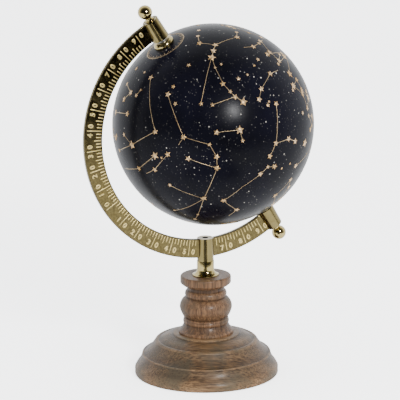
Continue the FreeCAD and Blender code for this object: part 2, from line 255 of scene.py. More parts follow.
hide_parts("base_felt")

# --- Base foot ----------------------------------------------------------------------------
# The wide foot, turned from one block of mango wood with its grain lying flat, in soft tiers
# up to the ledge that the stem stands on. Underneath it has the felt's recess and the nut's
# well, and on top the stem's socket. It is stained brown and rubbed with a satin lacquer.


def bowed(start, end, bow):
    """Points after start on an arc to end. A positive bow swells to the right of the way."""
    start, end = Vector(start), Vector(end)
    if not bow:
        return [end]
    along = end - start
    across = Vector((along.y, -along.x)).normalized() * math.copysign(1, bow)
    half_angle = 2 * math.atan(2 * abs(bow) / along.length)
    radius = along.length / 2 / math.sin(half_angle)
    centre = (start + end) / 2 - across * radius * math.cos(half_angle)
    steps = max(5, math.ceil(half_angle / math.radians(4)))
    angles = [half_angle * (2 * step / steps - 1) for step in range(1, steps + 1)]
    return [centre + radius * (across * math.cos(angle) + along.normalized() * math.sin(angle))
            for angle in angles]


def turned(name, corners, base=0, segments=192):
    """A lathe-turned piece: an outline of (radius, height, bow) corners spun round Z.
    A corner's bow is that of the stretch after it. An outline that starts on the axis ends
    there too, and any other is closed. Corners are in millimetres, base is in metres."""
    start = Vector(corners[0][:2])
    outline = [start]
    closing = corners[:1] if start.x else []
    for corner, following in zip(corners, corners[1:] + closing):
        bow = corner[2] if len(corner) > 2 else 0
        outline += bowed(corner[:2], following[:2], bow)
    bpy.ops.object.select_all(action="DESELECT")
    bpy.ops.mesh.primitive_plane_add(size=1 * MM, location=(start.x * MM, 0, start.y * MM + base))
    piece = bpy.context.active_object
    piece.name = name
    bpy.ops.object.mode_set(mode="EDIT")
    bpy.ops.mesh.merge(type="CENTER")
    for point, following in zip(outline, outline[1:]):
        move = (following - point) * MM
        bpy.ops.mesh.extrude_vertices_move(TRANSFORM_OT_translate={"value": (move.x, 0, move.y)})
    bpy.ops.mesh.select_all(action="SELECT")
    bpy.ops.mesh.spin(steps=segments, angle=math.tau, center=(0, 0, 0), axis=(0, 0, 1))
    bpy.ops.mesh.select_all(action="SELECT")
    bpy.ops.mesh.remove_doubles(threshold=0.001 * MM)
    bpy.ops.mesh.normals_make_consistent(inside=False)
    bpy.ops.object.mode_set(mode="OBJECT")
    bpy.ops.object.transform_apply(location=True)
    return piece


foot_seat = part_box("base_foot")[0].z
foot_edge = 0.35 * MM
foot = turned("turned_foot", [
    (3.4, 12), (16, 12), (16, 1), (66.3, 1), (66.3, 0),
    (71.2, 0, 0.23), (72, 0.8), (72, 6, 0.25), (68.1, 12, -0.45), (64.6, 19.9, 0.7),
    (62.8, 20.9, -0.9), (51.7, 32.9, 1), (47.4, 34.6, 0.6), (33, 40.1), (33, 41.5),
    (14.1, 41.5), (14.1, 31.4), (3.4, 31.4),
], base=foot_seat)
bevel_edges(foot, foot_edge)


def paint_hollow_shade(piece):
    """Paints how deep each point lies in a hollow, for the painted shade there."""
    piece.data.color_attributes.new("hollow_shade", "FLOAT_COLOR", "POINT")
    bpy.ops.object.select_all(action="DESELECT")
    piece.select_set(True)
    bpy.context.view_layer.objects.active = piece
    bpy.ops.paint.vertex_color_dirt(blur_strength=1, blur_iterations=2, clean_angle=math.pi,
                                    dirt_angle=0, dirt_only=False, normalize=True)


paint_hollow_shade(foot)

grain_group = bpy.data.node_groups.new("mango_grain", "ShaderNodeTree")
for socket, kind in (("Vector", "NodeSocketVector"), ("Ring spacing", "NodeSocketFloat"),
                     ("Pores", "NodeSocketFloat")):
    grain_group.interface.new_socket(socket, in_out="INPUT", socket_type=kind)
for socket in ("Rings", "Fibres", "Pores", "Mottle", "Height"):
    grain_group.interface.new_socket(socket, in_out="OUTPUT", socket_type="NodeSocketFloat")
given = grain_group.nodes.new("NodeGroupInput")
result = grain_group.nodes.new("NodeGroupOutput")
vector = given.outputs["Vector"]
sway = shade(grain_group, "TexNoise", {"Vector": vector, "Scale": 9, "Detail": 3})
swayed = shade(grain_group, "VectorMath", {0: sway.outputs["Color"], 1: (0.012, 0.012, 0.012)},
               operation="MULTIPLY")
bent = shade(grain_group, "VectorMath", {0: vector, 1: swayed.outputs[0]}, operation="ADD")
rings = shade(grain_group, "TexWave", {"Vector": bent.outputs[0],
              "Scale": given.outputs["Ring spacing"], "Distortion": 1.2, "Detail": 3,
              "Detail Scale": 1.4, "Detail Roughness": 0.6},
              wave_type="RINGS", rings_direction="X", wave_profile="SAW")
drawn_out = shade(grain_group, "VectorMath", {0: bent.outputs[0], 1: (0.06, 1, 1)},
                  operation="MULTIPLY")
fibres = shade(grain_group, "TexNoise", {"Vector": drawn_out.outputs[0], "Scale": 700, "Detail": 4,
               "Roughness": 0.65})
pore_noise = shade(grain_group, "TexNoise", {"Vector": drawn_out.outputs[0], "Scale": 900,
                   "Detail": 2, "Roughness": 0.5})
pores = shade(grain_group, "MapRange", {"Value": pore_noise.outputs["Fac"],
              "From Min": given.outputs["Pores"], "From Max": 0.74})
mottle = shade(grain_group, "TexNoise", {"Vector": bent.outputs[0], "Scale": 26, "Detail": 5,
               "Roughness": 0.62, "Distortion": 0.6})
relief = shade(grain_group, "Math", {0: fibres.outputs["Fac"], 1: pores.outputs["Result"]},
               operation="SUBTRACT")
for socket, source in (("Rings", rings.outputs["Fac"]), ("Fibres", fibres.outputs["Fac"]),
                       ("Pores", pores.outputs["Result"]), ("Mottle", mottle.outputs["Fac"]),
                       ("Height", relief.outputs[0])):
    grain_group.links.new(source, result.inputs[socket])


def mix(tree, factor, first, second, blend="MIX"):
    """Mixes two colours by a factor, each a value or another node's output."""
    made = shade(tree, "Mix", data_type="RGBA", blend_type=blend)
    for socket, value in ((0, factor), (6, first), (7, second)):
        if isinstance(value, bpy.types.NodeSocket):
            tree.links.new(value, made.inputs[socket])
        else:
            made.inputs[socket].default_value = value
    return made.outputs[2]


def wood(name, pith, turn, pale, dark, grey_stain, ring_spacing, pores):
    """Stained and lacquered mango wood. Its grain runs along X after the turn, round the pith."""
    material, tree, shader, place = new_material(name)
    log = shade(tree, "Mapping", {"Vector": place, "Location": pith, "Rotation": turn})
    grain = shade(tree, "Group", node_tree=grain_group)
    tree.links.new(log.outputs["Vector"], grain.inputs["Vector"])
    grain.inputs["Ring spacing"].default_value = ring_spacing
    grain.inputs["Pores"].default_value = pores
    rings = ramp(tree, grain.outputs["Rings"], [(0, pale), (0.7, dark), (1, pale)])
    fibres = ramp(tree, grain.outputs["Fibres"], [(0.36, grey(0.42)), (0.62, grey(1.3))])
    colour = mix(tree, 1, rings, fibres, "MULTIPLY")
    stain = ramp(tree, grain.outputs["Mottle"], [(0.44, grey(0)), (0.6, grey(0.85))])
    colour = mix(tree, stain, colour, grey_stain)
    colour = mix(tree, grain.outputs["Pores"], colour, (0.035, 0.018, 0.009, 1))
    # Painted shade: the wood is darkened in the hollows and lightened a little on the ridges.
    depth = shade(tree, "Attribute", attribute_name="hollow_shade")
    painted_hollow_shade = ramp(tree, depth.outputs["Fac"], [(0, grey(0.45)), (0.12, grey(0.95)),
                                                (0.22, grey(1)), (0.9, grey(1.15))])
    colour = mix(tree, 1, colour, painted_hollow_shade, "MULTIPLY")
    tree.links.new(colour, shader.inputs["Base Color"])
    rough = ramp(tree, grain.outputs["Mottle"], [(0.3, grey(0.42)), (0.7, grey(0.56))])
    tree.links.new(rough, shader.inputs["Roughness"])
    shader.inputs["Specular IOR Level"].default_value = 0.15
    shader.inputs["Coat Weight"].default_value = 0.2
    shader.inputs["Coat IOR"].default_value = 1.28
    shader.inputs["Coat Roughness"].default_value = 0.22
    bump = shade(tree, "Bump", {"Height": grain.outputs["Height"], "Distance": 0.2 * MM,
                                "Strength": 0.8})
    tree.links.new(bump.outputs["Normal"], shader.inputs["Normal"])
    return material


foot.data.materials.append(wood(
    "stained_foot_wood", pith=(0, 0.05, 0.035), turn=(0, 0, math.radians(20)),
    pale=(0.135, 0.079, 0.038, 1), dark=(0.088, 0.049, 0.022, 1),
    grey_stain=(0.058, 0.045, 0.027, 1),
    ring_spacing=22, pores=0.53))
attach(foot, "stand")
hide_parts("base_foot")

# --- Stem ---------------------------------------------------------------------------------
# The neck between foot and brass, turned from a squared length with its grain upright: a bell,
# two rings, a bulb, a bead, a groove and a flared cap. Its spigot is glued in the foot's socket.

stem_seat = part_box("stem_turning")[0].z
stem_edge = 0.25 * MM
stem = turned("turned_stem", [
    (3.4, 0), (14, 0), (14, 10), (27.4, 10), (27.4, 12.2, -0.6), (22.2, 20.2, 0.7),
    (22.5, 24.2, 0.45), (21.6, 26.2, 0.6), (26.2, 36.2, 2), (19.7, 47.6, 1.9), (18.4, 54.8),
    (18.4, 57.8, 0.6), (25.4, 62.4), (25.4, 67.8, 0.53), (23.6, 69.6), (3.4, 69.6),
], base=stem_seat)
bevel_edges(stem, stem_edge)
paint_hollow_shade(stem)
stem.data.materials.append(wood(
    "stained_stem_wood", pith=(0, 0.02, 0.05), turn=(0, math.radians(90), 0),
    pale=(0.108, 0.057, 0.027, 1), dark=(0.076, 0.038, 0.018, 1),
    grey_stain=(0.06, 0.04, 0.023, 1),
    ring_spacing=60, pores=0.53))
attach(stem, "stand")
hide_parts("stem_turning")

# --- Tie rod, washer and nut --------------------------------------------------------------
# A threaded steel rod runs from the arm's boss down through ferrule, stem and foot. The nut and
# its wide washer draw the whole stand together from the well in the foot. All are zinc plated.

zinc_steel, tree, shader, place = new_material("zinc_plated_steel")
spangle = shade(tree, "TexVoronoi", {"Vector": place, "Scale": 260})
shade_of_zinc = ramp(tree, spangle.outputs["Color"], [(0, (0.42, 0.43, 0.42, 1)),
                                                    (1, (0.58, 0.59, 0.6, 1))])
tree.links.new(shade_of_zinc, shader.inputs["Base Color"])
shader.inputs["Metallic"].default_value = 1
haze = shade(tree, "TexNoise", {"Vector": place, "Scale": 300, "Detail": 4})
tree.links.new(ramp(tree, haze.outputs["Fac"], [(0.3, grey(0.3)), (0.7, grey(0.5))]),
               shader.inputs["Roughness"])


def paint_node(node, material):
    """Gives a CAD node's own mesh a material."""
    for material_slot in frame["nodes"][node].material_slots:
        material_slot.material = material


for node in ("tie_rod", "tie_washer", "tie_nut"):
    paint_node(node, zinc_steel)

# --- Ferrule ------------------------------------------------------------------------------
# A spun brass collar that carries the arm's boss. It flares out to a thin lip that covers the
# hole in the wood, and is polished on the lathe, so its fine scratches run round it.

polish_group = bpy.data.node_groups.new("brass_polish", "ShaderNodeTree")
for socket, kind in (("Vector", "NodeSocketVector"), ("Stretch", "NodeSocketVector")):
    polish_group.interface.new_socket(socket, in_out="INPUT", socket_type=kind)
for socket in ("Scratches", "Smears", "Dimples"):
    polish_group.interface.new_socket(socket, in_out="OUTPUT", socket_type="NodeSocketFloat")
given = polish_group.nodes.new("NodeGroupInput")
result = polish_group.nodes.new("NodeGroupOutput")
vector = given.outputs["Vector"]
pulled = shade(polish_group, "VectorMath", {0: vector, 1: given.outputs["Stretch"]},
               operation="MULTIPLY")
scratches = shade(polish_group, "TexNoise", {"Vector": pulled.outputs[0], "Scale": 2400,
                  "Detail": 3})
smears = shade(polish_group, "TexNoise", {"Vector": vector, "Scale": 70, "Detail": 5,
               "Roughness": 0.6, "Distortion": 1.2})
dimples = shade(polish_group, "TexNoise", {"Vector": vector, "Scale": 420, "Detail": 3})
for socket, source in (("Scratches", scratches), ("Smears", smears), ("Dimples", dimples)):
    polish_group.links.new(source.outputs["Fac"], result.inputs[socket])


def brass(name, stretch, dimples, scratches, dull=0.24, bright=0.1, lift=1, washed=0):
    """Polished brass with scratches pulled out by stretch, and dimples as deep as given.
    Its roughness runs from bright to dull, and lift makes the metal paler. What lies nearer
    to the middle plane than washed keeps a thin brown wash."""
    material, tree, shader, place = new_material(name)
    polish = shade(tree, "Group", node_tree=polish_group)
    tree.links.new(place, polish.inputs["Vector"])
    polish.inputs["Stretch"].default_value = stretch
    tint = ramp(tree, polish.outputs["Smears"], [
        (0.3, (0.31 * lift, 0.245 * lift, 0.095 * lift, 1)),
        (0.7, (0.41 * lift, 0.33 * lift, 0.145 * lift, 1))])
    if washed:
        depth = shade(tree, "SeparateXYZ", {"Vector": place}).outputs["Y"]
        off_middle = shade(tree, "Math", {0: depth}, operation="ABSOLUTE").outputs[0]
        thin = shade(tree, "Math", {0: off_middle, 1: washed}, operation="LESS_THAN").outputs[0]
        cover = shade(tree, "Math", {0: thin, 1: polish.outputs["Dimples"]}, operation="MULTIPLY")
        tint = mix(tree, cover.outputs[0], tint, (0.02, 0.014, 0.005, 1))
    tree.links.new(tint, shader.inputs["Base Color"])
    shader.inputs["Metallic"].default_value = 1
    rough = ramp(tree, polish.outputs["Smears"], [(0.3, grey(bright)), (0.72, grey(dull))])
    tree.links.new(rough, shader.inputs["Roughness"])
    hammered = shade(tree, "Bump", {"Height": polish.outputs["Dimples"], "Distance": dimples * MM})
    scratched = shade(tree, "Bump", {"Height": polish.outputs["Scratches"],
                                     "Distance": scratches * MM, "Normal": hammered.outputs[0]})
    tree.links.new(scratched.outputs["Normal"], shader.inputs["Normal"])
    return material


ferrule_low, ferrule_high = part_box("ferrule")
ferrule_edge = 0.15 * MM
ferrule = turned("brass_ferrule", [
    (3.4, 0), (13.2, 0), (13.2, 0.8, -1.4), (8.6, 6.5), (8.6, 14.9), (3.4, 14.9),
], base=ferrule_low.z, segments=128)
bevel_edges(ferrule, ferrule_edge)
ferrule.data.materials.append(brass("spun_brass", stretch=(0.04, 0.04, 1), dimples=0.03,
                                    scratches=0.01))
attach(ferrule, "stand")
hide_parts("ferrule")

# --- Meridian arm and its degree scale ----------------------------------------------------
# A half ring cast in brass in one piece with its two pole bosses and the boss that stands on
# the ferrule. Both faces are cast with a raised scale of 90 to 0 to 90 degrees: a long mark
# with its number astride it each ten degrees, and five shorter marks between. The casting is
# then buffed, which rounds every edge and leaves a faint skin of sand dimples. The raised
# scale is painted paler than the face, a painted highlight for the glint on its edges.

stem_boss_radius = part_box("meridian_arm")[1].y
ring_outside = 128.85 * MM
ring_inside = 109.75 * MM
ring_face = 2.1 * MM
ring_lift = 3.6 * MM
ring_height = ferrule_high.z + ring_lift + ring_outside
stem_boss_top = ring_height - 0.1
ring_middle = math.radians(211)
mark_pitch = math.radians(9.7)
mark_lag = math.radians(-1.5)
mark_height = 0.35 * MM
mark_width = 0.95 * MM
number_size = 7.2 * MM
number_radius = 122.6 * MM
number_spread = 4.7 * MM
bar_radius = ring_inside + 1.1 * MM

paint_node("meridian_arm", brass("cast_brass", stretch=(1, 1, 0.2), dimples=0.02, scratches=0.004,
                                 lift=0.5, washed=ring_face + 0.1 * MM))


def raised_bar(length):
    """A mark of the scale, lying along Y with its inner end at the origin and its back at z=0."""
    bpy.ops.mesh.primitive_cube_add(size=1, location=(0, length / 2, 0))
    bar = bpy.context.active_object
    bar.scale = (mark_width, length, 2 * mark_height)
    bpy.ops.object.transform_apply(location=True, scale=True)
    bevel_edges(bar, mark_height * 0.8)
    return bar


def raised_number(digit):
    """A numeral of the scale, centred on the origin with its back at z=0."""
    bpy.ops.object.text_add()
    numeral = bpy.context.active_object
    numeral.data.body = digit
    numeral.data.size = number_size
    numeral.data.align_x = "CENTER"
    numeral.data.align_y = "CENTER"
    numeral.data.resolution_u = 4
    numeral.data.offset = 0.2 * MM
    numeral.data.extrude = mark_height * 0.55
    numeral.data.bevel_depth = mark_height * 0.45
    numeral.data.bevel_resolution = 1
    bpy.ops.object.convert(target="MESH")
    bpy.ops.object.mode_set(mode="EDIT")
    bpy.ops.mesh.select_all(action="SELECT")
    bpy.ops.mesh.remove_doubles(threshold=0.005 * MM)
    bpy.ops.mesh.normals_make_consistent(inside=False)
    bpy.ops.object.mode_set(mode="OBJECT")
    return bpy.context.active_object


def on_ring(angle, radius, side, inverted=False, along=0):
    """The place of a mark on the ring: its Y points outwards, or inwards where inverted."""
    outwards = Vector((math.cos(angle), 0, math.sin(angle)))
    up = -outwards if inverted else outwards
    normal = Vector((0, side, 0))
    right = up.cross(normal)
    origin = Vector((0, side * ring_face, ring_height)) + outwards * radius + right * along
    turn = Matrix((right, up, normal)).transposed().to_4x4()
    return Matrix.Translation(origin) @ turn


def placed(master, place):
    """A copy of a master piece with a mesh of its own, moved to its place."""
    copy = master.copy()
    copy.data = master.data.copy()
    copy.data.transform(place)
    bpy.context.scene.collection.objects.link(copy)
    return copy


def joined(name, copies, masters):
    """Joins copies into one piece and removes the masters they were made from."""
    for master in masters:
        bpy.data.objects.remove(master)
    bpy.ops.object.select_all(action="DESELECT")
    for copy in copies:
        copy.select_set(True)
    bpy.context.view_layer.objects.active = copies[0]
    bpy.ops.object.join()
    bpy.ops.object.shade_smooth_by_angle(angle=math.radians(40))
    copies[0].name = name
    return copies[0]


long_bar = raised_bar(15.6 * MM)
medium_bar = raised_bar(7.6 * MM)
short_bar = raised_bar(5.6 * MM)
numerals = {digit: raised_number(digit) for digit in "0123456789"}
between_tens = [short_bar, short_bar, medium_bar, short_bar, short_bar]
# Painted highlight: the raised scale's brass is much paler than the face it is cast with.
scale_painted_highlight_brass = brass("relief_brass_painted_highlight", stretch=(1, 1, 0.2), dimples=0.03, scratches=0.004,
                       dull=0.5, bright=0.38, lift=1.8)
for side, side_name in ((-1, "front"), (1, "back")):
    marks = []
    for ten in range(-9, 10):
        angle = ring_middle - ten * mark_pitch - mark_lag
        wanted = [(long_bar, on_ring(angle, bar_radius, side))]
        for numeral_index, digit in enumerate(f"{abs(ten)}0" if ten else "0"):
            along = number_spread * (2 * numeral_index - 1 if ten else 1)
            wanted.append((numerals[digit], on_ring(
                angle, number_radius, side, inverted=ten < 0, along=along)))
        for step, bar in enumerate(between_tens if ten < 9 else [], 1):
            finer = angle - mark_pitch * step / (len(between_tens) + 1)
            wanted.append((bar, on_ring(finer, bar_radius, side)))
        for master, place in wanted:
            in_stem_boss = abs(place.translation.x) < stem_boss_radius
            if place.translation.z > stem_boss_top or not in_stem_boss:
                marks.append(placed(master, place))
    leftovers = [] if side < 0 else [long_bar, medium_bar, short_bar, *numerals.values()]
    scale = joined(f"degree_scale_{side_name}", marks, leftovers)
    scale.data.materials.clear()
    scale.data.materials.append(scale_painted_highlight_brass)
    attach(scale, "stand")

# --- Axle and what runs on it -------------------------------------------------------------
# A steel axle through both pole bosses carries the ball on two plastic bushes, glued in the
# ball's pole holes, with a steel spacer each side. A plastic band splices the ball's halves.
# All of it hides inside or behind the pole cups.

for node in ("axle_rod", "spacer_north", "spacer_south"):
    paint_node(node, zinc_steel)

moulded_plastic, tree, shader, place = new_material("moulded_plastic")
swirl = shade(tree, "TexNoise", {"Vector": place, "Scale": 40, "Detail": 4, "Distortion": 1.5})
tree.links.new(ramp(tree, swirl.outputs["Fac"], [(0.3, grey(0.035)), (0.7, grey(0.06))]),
               shader.inputs["Base Color"])
tree.links.new(ramp(tree, swirl.outputs["Fac"], [(0.3, grey(0.4)), (0.7, grey(0.52))]),
               shader.inputs["Roughness"])
for node in ("pole_bush_north", "pole_bush_south", "equator_band"):
    paint_node(node, moulded_plastic)

# --- Pole cups ----------------------------------------------------------------------------
# A domed brass washer at each pole, pressed from sheet and polished. It is hollowed to sit on
# the ball and hides the edge of the pole hole and the bush.

ball_joint = frame["joints"][0]
ball_centre = Vector(ball_joint["pos_m"])
polar_axis = Vector(ball_joint["axis"])
ball_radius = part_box("globe_north_half")[1].y
tilt = Vector((0, 0, 1)).rotation_difference(polar_axis).to_matrix().to_4x4()
north_up = Matrix.Translation(ball_centre) @ tilt
south_up = north_up @ Matrix.Rotation(math.pi, 4, "Y")


def set_at(piece, place):
    """Moves a piece modelled upright at the origin to its place, in its own mesh."""
    piece.matrix_world = place
    bpy.ops.object.select_all(action="DESELECT")
    piece.select_set(True)
    bpy.context.view_layer.objects.active = piece
    bpy.ops.object.transform_apply(location=True, rotation=True, scale=True)


cup_edge = 0.15 * MM
pressed_brass = brass("pressed_brass", stretch=(0.2, 0.2, 1), dimples=0.05, scratches=0.01)
for pole, place in (("north", north_up), ("south", south_up)):
    cup = turned(f"brass_cup_{pole}", [
        (2.9, 99.98, -0.07), (10.4, 99.48), (10.4, 101.5, 0.88), (7.4, 104.5), (2.9, 104.5),
    ], segments=96)
    bevel_edges(cup, cup_edge)
    set_at(cup, place)
    cup.data.materials.append(pressed_brass)
    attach(cup, "globe")
    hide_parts(f"pole_cup_{pole}")

# --- Ball ---------------------------------------------------------------------------------
# Two blow-moulded plastic halves, spliced at the equator and papered with a night-blue sky
# print under a hard varnish. The print carries a dust of faint stars, thicker in loose patches.
# The bigger stars and the lines between them are stamped on it in gold foil.

foil_room = 0.15 * MM
paper_radius = ball_radius - foil_room
wall = 3 * MM
pole_hole = 6 * MM
seam = 0.01 * MM
# Cells in a metre, dot radius in cells, and brightness, from few bright dots to many faint ones.
dust_layers = [(130, 0.11, 0.55), (220, 0.13, 0.25), (400, 0.17, 0.1)]

star_dust, tree, shader, place = new_material("printed_sky")
upright = shade(tree, "VectorMath", {0: place, 1: tuple(-ball_centre)}, operation="ADD").outputs[0]
cloud = shade(tree, "TexNoise", {"Vector": upright, "Scale": 14, "Detail": 4, "Roughness": 0.55})
night = ramp(tree, cloud.outputs["Fac"], [(0.35, (0.0014, 0.0014, 0.0026, 1)),
                                          (0.7, (0.0026, 0.0026, 0.006, 1))])
dust = grey(0)
for density, radius, brightness in dust_layers:
    cells = shade(tree, "TexVoronoi", {"Vector": upright, "Scale": density})
    spot = shade(tree, "MapRange", {"Value": cells.outputs["Distance"], "From Min": radius,
                                    "From Max": radius * 0.6}).outputs["Result"]
    warm_white = (brightness, brightness * 0.95, brightness * 0.82, 1)
    glint = ramp(tree, cells.outputs["Color"], [(0.2, grey(0)), (0.9, warm_white)])
    dust = mix(tree, 1, dust, mix(tree, spot, grey(0), glint), "ADD")
patches = ramp(tree, cloud.outputs["Fac"], [(0.4, grey(0.35)), (0.6, grey(1))])
dust = mix(tree, 1, dust, patches, "MULTIPLY")
tree.links.new(mix(tree, 1, night, dust, "ADD"), shader.inputs["Base Color"])
smear = shade(tree, "TexNoise", {"Vector": upright, "Scale": 25, "Detail": 6, "Distortion": 0.8})
tree.links.new(ramp(tree, smear.outputs["Fac"], [(0.3, grey(0.24)), (0.7, grey(0.32))]),
               shader.inputs["Roughness"])
shader.inputs["IOR"].default_value = 1.14
bump = shade(tree, "Bump", {"Height": smear.outputs["Fac"], "Distance": 0.05 * MM, "Strength": 0.3})
tree.links.new(bump.outputs["Normal"], shader.inputs["Normal"])

for pole, place in (("north", north_up), ("south", south_up)):
    bpy.ops.object.select_all(action="DESELECT")
    bpy.ops.mesh.primitive_uv_sphere_add(segments=224, ring_count=112, radius=paper_radius)
    half = bpy.context.active_object
    half.name = f"papered_half_{pole}"
    bpy.ops.object.mode_set(mode="EDIT")
    bpy.ops.mesh.select_all(action="SELECT")
    bpy.ops.mesh.bisect(plane_co=(0, 0, 0), plane_no=(0, 0, 1), clear_inner=True)
    bpy.ops.mesh.select_all(action="SELECT")
    hole_height = math.sqrt(paper_radius ** 2 - pole_hole ** 2)
    bpy.ops.mesh.bisect(plane_co=(0, 0, hole_height), plane_no=(0, 0, 1), clear_outer=True)
    bpy.ops.mesh.select_all(action="SELECT")
    bpy.ops.transform.translate(value=(0, 0, seam))
    bpy.ops.object.mode_set(mode="OBJECT")
    shell = half.modifiers.new("shell", "SOLIDIFY")
    shell.thickness = wall
    shell.offset = -1
    bpy.ops.object.modifier_apply(modifier=shell.name)
    bpy.ops.object.shade_smooth_by_angle(angle=math.radians(30))
    set_at(half, place)
    half.data.materials.append(star_dust)
    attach(half, "globe")
    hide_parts(f"globe_{pole}_half")

# --- Foil stars, figure lines and hour circles ---------------------------------------------
# Five-pointed stars and the fine lines that join them into figures, stamped in gold foil on
# the varnished sky, with a ring of hour marks round each pole. Figures are strokes, each a list
# of (right ascension, declination, star size) in degrees. Size 0 only bends the line or meets
# another stroke's star. The loose stars belong to no line, and no figure is lettered.

foil_sunk = 0.03 * MM
foil_radius = paper_radius - foil_sunk
foil_thickness = 0.12 * MM
line_width = 0.5 * MM
star_radii = [0, 1.6 * MM, 2.4 * MM, 3.3 * MM, 4.6 * MM]
print_start = 45
star_waist = 0.46
star_lean = 0.4
random.seed(7)

front_figures = [
    [(191, 65, 3), (189, 48, 0), (187, 33, 3), (210, 27, 4), (229, 21, 2)],
    [(210, 27, 0), (219, 32, 2)],
    [(170, 51, 3), (169, 25, 3), (157, 15, 2), (157, 7, 3), (160, 1, 3), (177, -14, 3),
     (191, 1, 2)],
    [(169, 25, 0), (174, 22, 0)],
    [(172, 13, 3), (160, 1, 0)],
    [(177, -14, 0), (189, -17, 0), (203, -19, 1)],
    [(177, -14, 0), (190, -26, 1), (197, -31, 2)],
    [(183, 19, 3), (196, 12, 3), (204, 10, 0)],
    [(192, 20, 4), (209, 13, 3), (228, 10, 0)],
    [(80, 70, 2), (100, 67, 3), (97, 58, 3), (106, 57, 3), (115, 55, 4), (149, 37, 2)],
    [(97, 58, 0), (76, 48, 3), (66, 48, 2)],
    [(88, 43, 0), (82, 38, 3), (74, 35, 2), (69, 34, 3), (65, 32, 0)],
    [(69, 34, 0), (78, 28, 3), (80, 21, 3), (72, 21, 2)],
    [(115, 55, 0), (122, 49, 1), (128, 39, 3), (128, 33, 2), (128, 29, 3), (126, 24, 4)],
    [(128, 29, 0), (143, 33, 2)],
    [(150, 19, 3), (138, 13, 4), (140, 7, 2)],
    [(90, 20, 0), (97, 23, 3), (111, 22, 3), (117, 19, 3)],
    [(110, 10, 3), (114, 5, 0), (119, -1, 0), (124, -7, 3), (131, -11, 3)],
    [(124, -7, 0), (115, -11, 3), (111, -16, 3)],
    [(71, 15, 0), (83, 12, 4)],
    [(131, -19, 3), (135, -16, 2), (141, -17, 3), (154, -18, 0), (168, -21, 3), (166, -34, 3),
     (174, -37, 0)],
    [(115, -32, 3), (101, -34, 0), (90, -34, 0)],
    [(237, 59, 2), (219, 56, 3), (228, 51, 3)],
    [(208, 55, 2), (203, 58, 1)],
    [(239, 41, 3), (216, 44, 3)],
]
front_loose_stars = [
    (240, 69, 2), (208, 69, 1), (58, 69, 2), (102, -24, 4), (91, -22, 3), (115, 13, 2),
    (113, 14, 1), (92, 6, 2), (116, 48, 1), (93, 33, 2), (100, 33, 1), (117, 35, 2),
    (110, 33, 1), (138, 61, 2), (163, 54, 2), (166, 44, 2), (127, -24, 1), (120, -26, 1),
    (95, -8, 2), (188, 18, 1),
]
